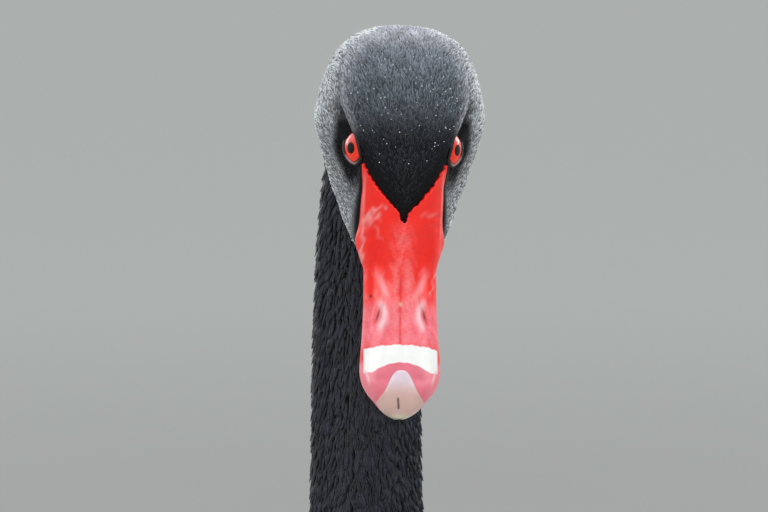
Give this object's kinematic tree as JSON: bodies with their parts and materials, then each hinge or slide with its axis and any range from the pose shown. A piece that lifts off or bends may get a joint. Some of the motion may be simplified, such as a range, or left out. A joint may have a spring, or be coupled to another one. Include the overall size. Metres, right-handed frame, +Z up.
{
  "type": "black swan model",
  "caption": "Life-size still model of an adult black swan at rest on its belly, neck raised, red bill bowed, wings folded and webbed feet tucked under.",
  "frame": {"origin": "bottom centre of the model's box, on the surface that the belly and feet rest on", "axes": "+Z up, -Y the way the bird faces, +X the bird's left side"},
  "size_m": [0.278, 0.6142, 0.6851],
  "materials": {
    "plumage": "black body feathers with a faint blue-grey sheen and paler fringes",
    "head_plumage": "short velvety feathers, black at the forehead and lores, slate to pale grey on the crown and cheeks",
    "flight_white": "white flight feathers, mostly hidden by the folded coverts",
    "bill_red": "bright orange-red horn, smooth and wet-looking, pinker towards the tip",
    "bill_pale": "pale pinkish-grey nail at the bill's tip, with the white bar above it",
    "eye": "glossy eye with a red iris and a black pupil",
    "bare_skin": "dark scaly skin of the legs and webs"
  },
  "bodies": {
    "root": {"torso": "plumage", "neck_lower": "plumage", "neck_middle": "plumage", "neck_upper": "plumage", "head": "head_plumage", "bill_upper": "bill_red", "bill_nail": "bill_pale", "bill_lower": "bill_red", "eye_left": "eye", "eye_right": "eye", "wing_left": "plumage", "wing_right": "plumage", "tail": "plumage", "leg_left": "bare_skin", "leg_right": "bare_skin", "foot_left": "bare_skin", "foot_right": "bare_skin"}
  },
  "joints": []
}
